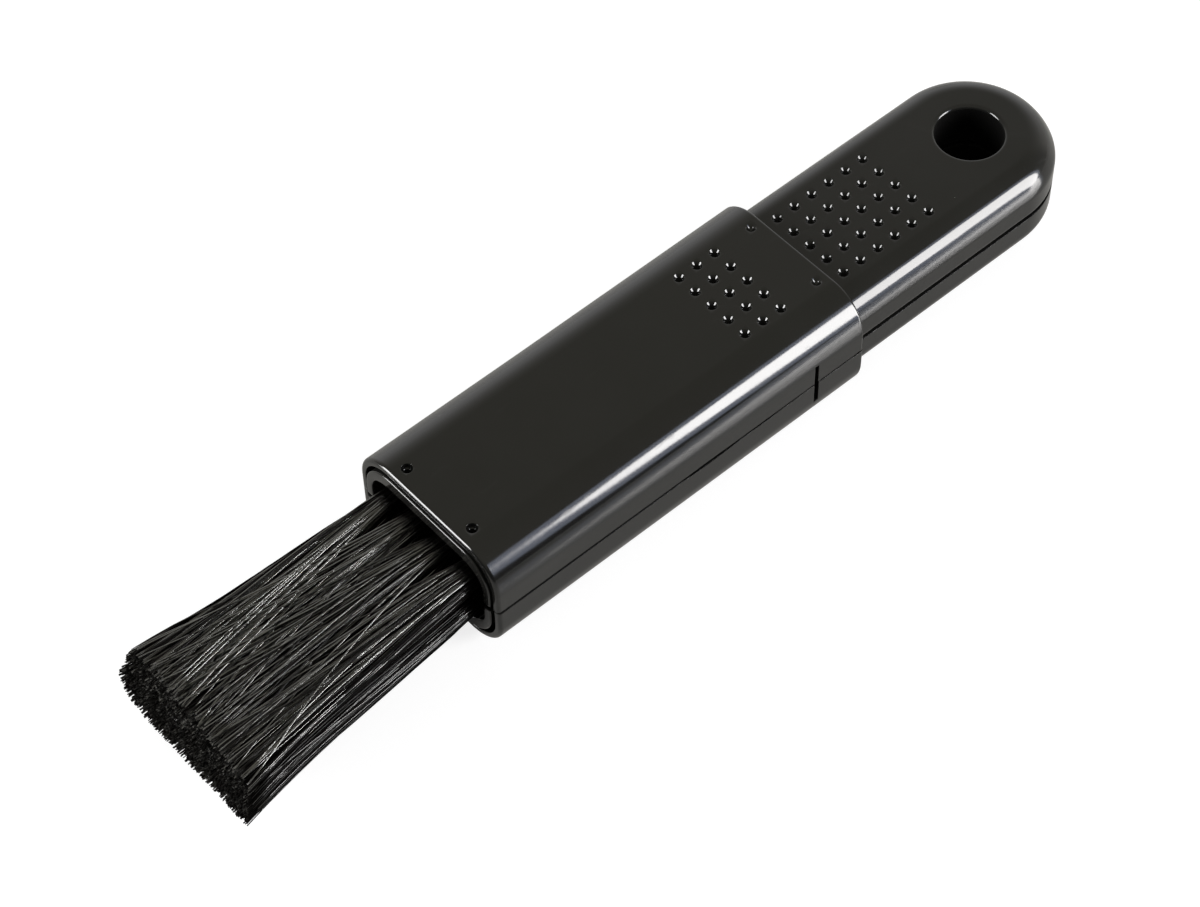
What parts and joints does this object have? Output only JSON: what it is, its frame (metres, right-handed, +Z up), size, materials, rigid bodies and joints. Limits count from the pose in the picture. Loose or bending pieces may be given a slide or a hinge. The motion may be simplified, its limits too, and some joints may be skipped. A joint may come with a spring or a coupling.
{
  "type": "vent brush",
  "caption": "Slim cleaning brush with a hanging hole in its handle and a sleeve that slides forward to cover the bristles.",
  "frame": {"origin": "centre of the bounding box in X and Y, on the surface that the brush lies on", "axes": "+X from the bristle tips to the hanging hole, +Y across the brush, +Z up out of the dimpled face"},
  "size_m": [0.1402, 0.0256, 0.0172],
  "materials": {
    "sleeve_plastic": "moulded, high gloss",
    "handle_plastic": "moulded, high gloss",
    "base_plastic": "moulded, matte",
    "bristle_nylon": "drawn nylon filament, slight shine",
    "anchor_brass": "cut strip"
  },
  "bodies": {
    "handle": {"handle_upper_shell": "handle_plastic", "handle_lower_shell": "handle_plastic", "brush_base": "base_plastic", "bristle_tuft_1": "bristle_nylon", "bristle_tuft_2": "bristle_nylon", "bristle_tuft_3": "bristle_nylon", "bristle_tuft_4": "bristle_nylon", "bristle_tuft_5": "bristle_nylon", "bristle_tuft_6": "bristle_nylon", "bristle_tuft_7": "bristle_nylon", "bristle_tuft_8": "bristle_nylon", "tuft_anchor_1": "anchor_brass", "tuft_anchor_2": "anchor_brass", "tuft_anchor_3": "anchor_brass", "tuft_anchor_4": "anchor_brass", "tuft_anchor_5": "anchor_brass", "tuft_anchor_6": "anchor_brass", "tuft_anchor_7": "anchor_brass", "tuft_anchor_8": "anchor_brass"},
    "sleeve": {"sleeve_upper_shell": "sleeve_plastic", "sleeve_lower_shell": "sleeve_plastic"}
  },
  "joints": [
    {"name": "sleeve_slide", "type": "slide", "parent": "handle", "child": "sleeve", "axis": [-1, 0, 0], "range_m": [0, 0.0392]}
  ]
}
